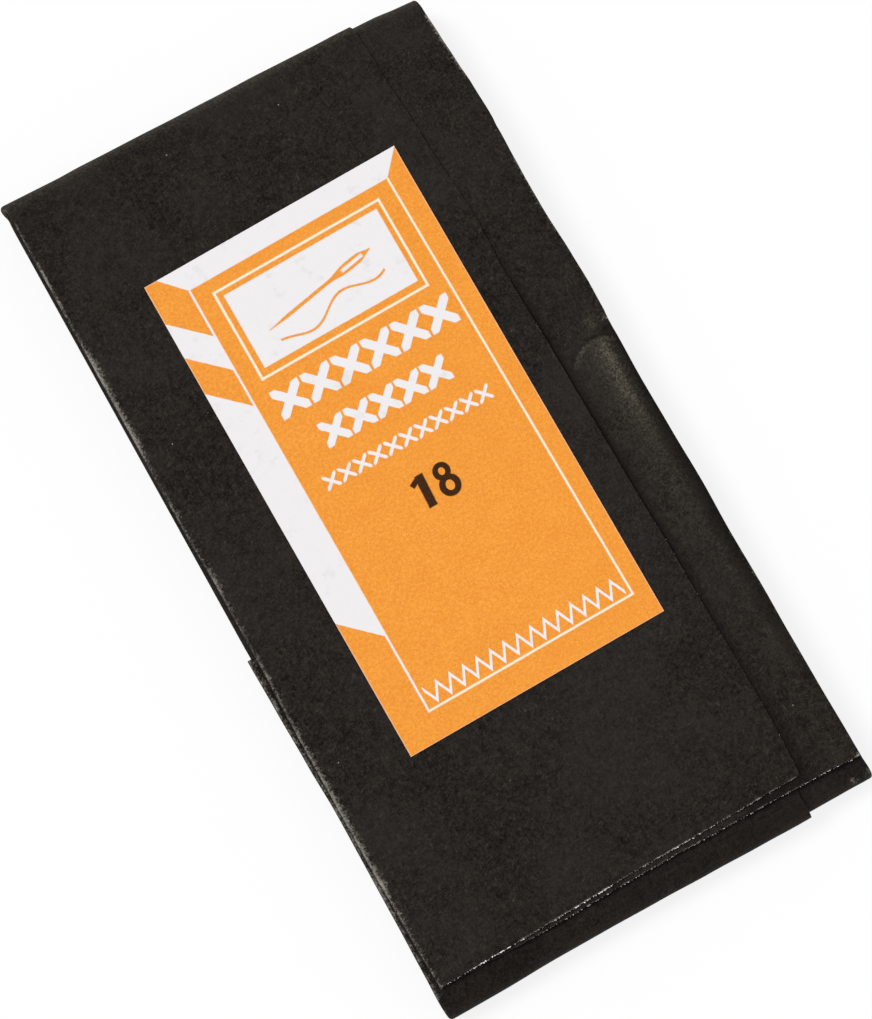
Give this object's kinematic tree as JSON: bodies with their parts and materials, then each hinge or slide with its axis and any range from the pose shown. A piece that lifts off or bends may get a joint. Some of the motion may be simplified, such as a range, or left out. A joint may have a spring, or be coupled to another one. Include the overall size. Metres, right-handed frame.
{
  "type": "needle packet",
  "caption": "Flat folded paper packet with an orange label, opening on its top and bottom folds, holding a row of blunt needles with long eyes in a cloth strip.",
  "frame": {"origin": "middle of the packet's length and width, on the surface that its back lies on", "axes": "+X across the packet to the right as its front is seen, +Y along it towards the top fold, +Z out of the printed front"},
  "size_m": [0.0331, 0.063, 0.0039],
  "materials": {
    "black_paper": "matt, faintly fibrous, worn grey along its folds",
    "label_print": "smooth printed paper, orange with white lines",
    "black_cloth": "plain weave, soft",
    "needle_steel": "polished nickel plate"
  },
  "bodies": {
    "back": {"back_base": "black_paper", "back_side_panel": "black_paper", "back_outer_flap": "black_paper", "top_fold": "black_paper", "bottom_fold": "black_paper"},
    "cover": {"cover_base": "black_paper", "cover_side_panel": "black_paper", "cover_outer_flap": "black_paper", "label": "label_print"},
    "tuck": {"tuck_base": "black_paper", "tuck_side_panel": "black_paper", "tuck_outer_flap": "black_paper"},
    "contents": {"cloth_strip": "black_cloth"},
    "needle_01": {"needle_01": "needle_steel"},
    "needle_02": {"needle_02": "needle_steel"},
    "needle_03": {"needle_03": "needle_steel"},
    "needle_04": {"needle_04": "needle_steel"},
    "needle_05": {"needle_05": "needle_steel"},
    "needle_06": {"needle_06": "needle_steel"},
    "needle_07": {"needle_07": "needle_steel"},
    "needle_08": {"needle_08": "needle_steel"},
    "needle_09": {"needle_09": "needle_steel"},
    "needle_10": {"needle_10": "needle_steel"},
    "needle_11": {"needle_11": "needle_steel"},
    "needle_12": {"needle_12": "needle_steel"}
  },
  "joints": [
    {"name": "cover_fold", "type": "hinge", "parent": "back", "child": "cover", "pos_m": [0, 0.0315, 0.00191], "axis": [-1, 0, 0], "range_deg": [0, 178], "deforming": ["top_fold"]},
    {"name": "tuck_fold", "type": "hinge", "parent": "back", "child": "tuck", "pos_m": [0, -0.0315, 0.00159], "axis": [1, 0, 0], "range_deg": [0, 178], "deforming": ["bottom_fold"]},
    {"name": "contents_slide", "type": "slide", "parent": "back", "child": "contents", "axis": [1, 0, 0], "range_m": [0, 0.033]},
    {"name": "needle_01_slide", "type": "slide", "parent": "contents", "child": "needle_01", "axis": [0, 1, 0], "range_m": [-0.004, 0.004]},
    {"name": "needle_02_slide", "type": "slide", "parent": "contents", "child": "needle_02", "axis": [0, 1, 0], "range_m": [-0.004, 0.004]},
    {"name": "needle_03_slide", "type": "slide", "parent": "contents", "child": "needle_03", "axis": [0, 1, 0], "range_m": [-0.004, 0.004]},
    {"name": "needle_04_slide", "type": "slide", "parent": "contents", "child": "needle_04", "axis": [0, 1, 0], "range_m": [-0.004, 0.004]},
    {"name": "needle_05_slide", "type": "slide", "parent": "contents", "child": "needle_05", "axis": [0, 1, 0], "range_m": [-0.004, 0.004]},
    {"name": "needle_06_slide", "type": "slide", "parent": "contents", "child": "needle_06", "axis": [0, 1, 0], "range_m": [-0.004, 0.004]},
    {"name": "needle_07_slide", "type": "slide", "parent": "contents", "child": "needle_07", "axis": [0, 1, 0], "range_m": [-0.004, 0.004]},
    {"name": "needle_08_slide", "type": "slide", "parent": "contents", "child": "needle_08", "axis": [0, 1, 0], "range_m": [-0.004, 0.004]},
    {"name": "needle_09_slide", "type": "slide", "parent": "contents", "child": "needle_09", "axis": [0, 1, 0], "range_m": [-0.004, 0.004]},
    {"name": "needle_10_slide", "type": "slide", "parent": "contents", "child": "needle_10", "axis": [0, 1, 0], "range_m": [-0.004, 0.004]},
    {"name": "needle_11_slide", "type": "slide", "parent": "contents", "child": "needle_11", "axis": [0, 1, 0], "range_m": [-0.004, 0.004]},
    {"name": "needle_12_slide", "type": "slide", "parent": "contents", "child": "needle_12", "axis": [0, 1, 0], "range_m": [-0.004, 0.004]}
  ],
  "couplings": [
    {"joint": "tuck_fold", "follows": "cover_fold", "ratio": 1}
  ]
}
